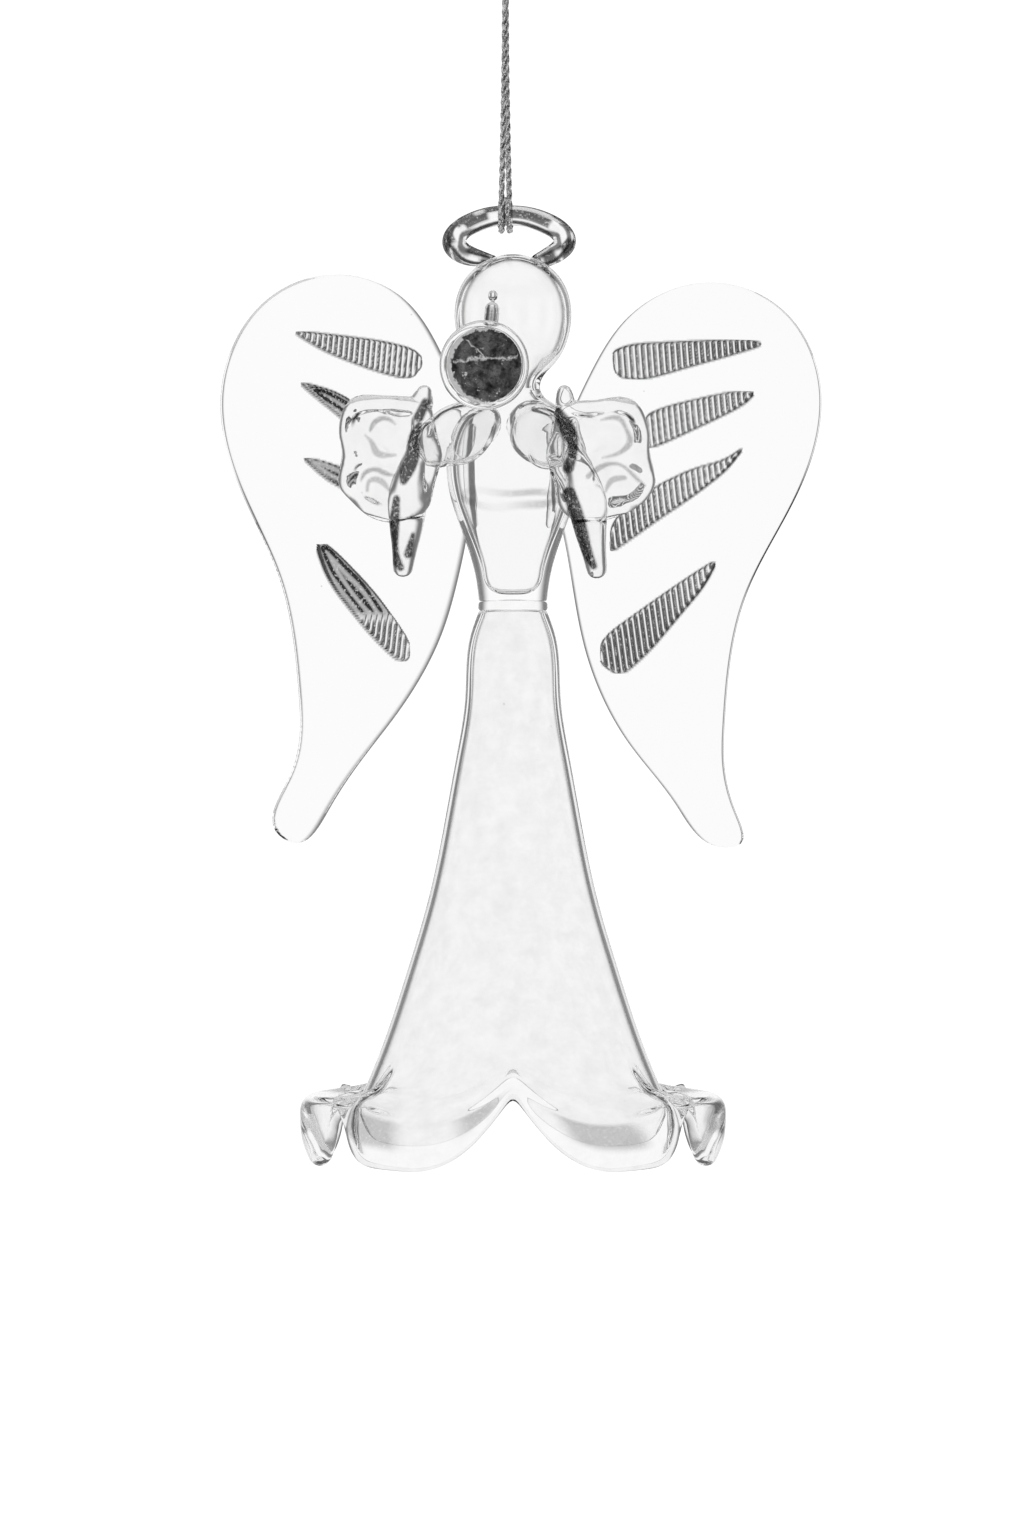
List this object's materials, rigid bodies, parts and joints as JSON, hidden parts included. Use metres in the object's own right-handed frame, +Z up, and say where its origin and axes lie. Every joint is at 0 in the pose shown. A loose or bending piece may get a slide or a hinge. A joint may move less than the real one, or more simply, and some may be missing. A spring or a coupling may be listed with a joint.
{
  "type": "hanging glass angel ornament",
  "caption": "Lampworked clear glass angel with pressed wings, horn, halo and a hollow scalloped skirt, hanging on a loop of silver cord.",
  "frame": {"origin": "the hang point, inside the cord's loop just under its knot, straight above the centre of mass", "axes": "+Z up along the cord, -Y the way the figure and horn face, +X to the viewer's right"},
  "size_m": [0.0815, 0.0541, 0.1763],
  "materials": {
    "clear_glass": "polished, hand worked",
    "silvered": "dark silvering with cracks",
    "silver_cord": "twisted metallic thread"
  },
  "bodies": {
    "knot": {"cord_knot": "silver_cord", "cord_tails": "silver_cord"},
    "cord": {"cord_front_leg": "silver_cord", "cord_rear_leg": "silver_cord"},
    "hitch": {"cord_hitch": "silver_cord"},
    "angel": {"skirt": "clear_glass", "waist_joint": "clear_glass", "torso": "clear_glass", "neck": "clear_glass", "head": "clear_glass", "halo_loop": "clear_glass", "left_wing": "clear_glass", "right_wing": "clear_glass", "left_wing_seam": "clear_glass", "right_wing_seam": "clear_glass", "left_arm": "clear_glass", "right_arm": "clear_glass", "left_sleeve": "clear_glass", "right_sleeve": "clear_glass", "left_sleeve_drop": "clear_glass", "right_sleeve_drop": "clear_glass", "left_hand": "clear_glass", "right_hand": "clear_glass", "horn_bell": "clear_glass", "horn_tube": "clear_glass", "horn_mouthpiece": "clear_glass", "horn_mirror": "silvered"}
  },
  "joints": [
    {"name": "cord_sway", "type": "hinge", "parent": "knot", "child": "cord", "pos_m": [0, 0, 0], "axis": [0, 1, 0], "range_deg": [-25, 25]},
    {"name": "cord_twist", "type": "hinge", "parent": "cord", "child": "hitch", "pos_m": [0, 0, -0.042], "axis": [0, 0, 1], "range_deg": [-180, 180]},
    {"name": "halo_swing", "type": "hinge", "parent": "hitch", "child": "angel", "pos_m": [0, 0, -0.046], "axis": [1, 0, 0], "range_deg": [-35, 35]}
  ]
}
